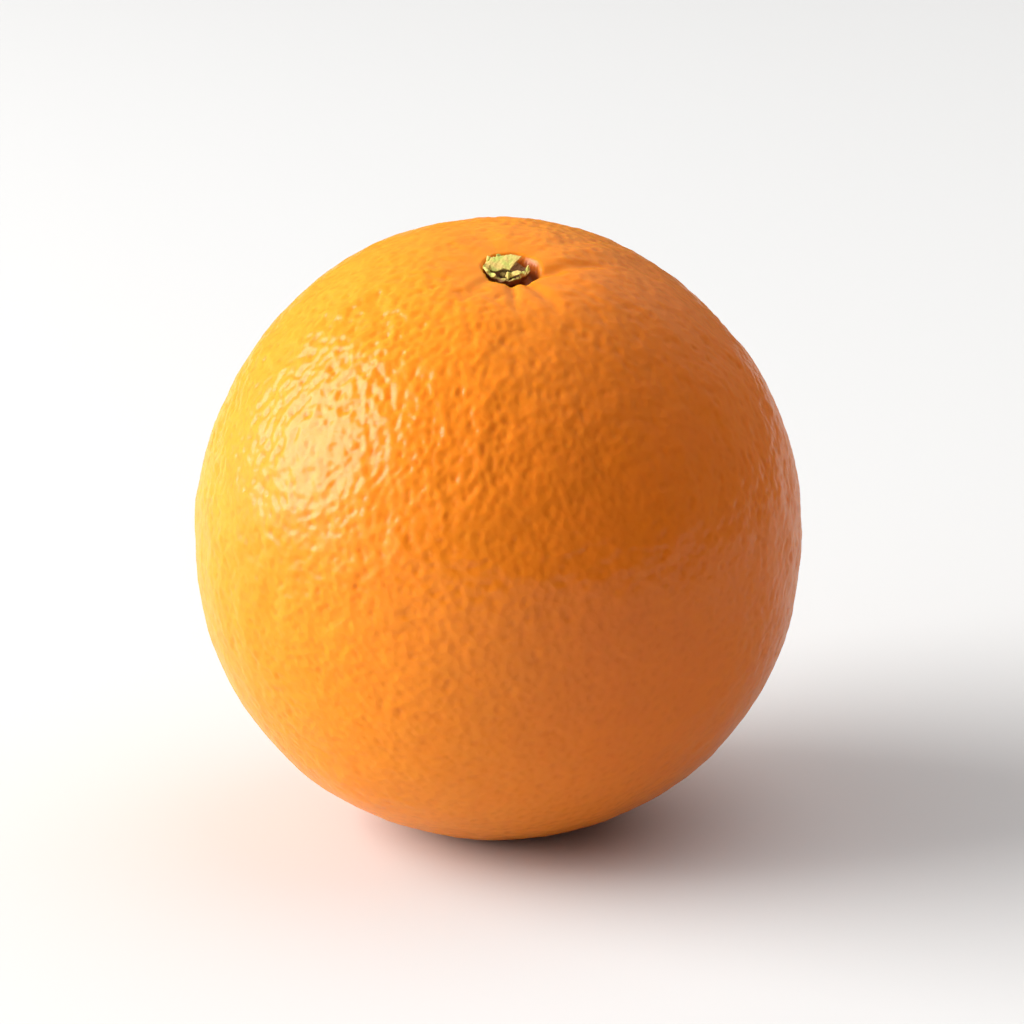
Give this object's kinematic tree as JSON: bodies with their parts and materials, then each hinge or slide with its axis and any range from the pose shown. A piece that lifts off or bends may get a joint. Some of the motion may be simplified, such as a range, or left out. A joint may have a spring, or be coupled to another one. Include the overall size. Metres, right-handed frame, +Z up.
{
  "type": "orange",
  "caption": "Whole round sweet orange with pebbled rind, a green calyx button in its stem pit and a small flat spot that it stands on.",
  "frame": {"origin": "on the surface that the fruit stands on, under the middle of its outline", "axes": "+Z up as the fruit stands; the stem end leans 14 degrees from +Z towards -Y, which is the side that the front view shows"},
  "size_m": [0.077, 0.079, 0.0777],
  "materials": {
    "rind": "waxy satin rind, finely pebbled with oil gland pits",
    "calyx": "dry matt torn sepals, pale yellow green",
    "stalk": "dry matt broken stalk, dark olive brown"
  },
  "bodies": {
    "root": {"fruit": "rind", "calyx": "calyx", "stem_stub": "stalk"}
  },
  "joints": []
}
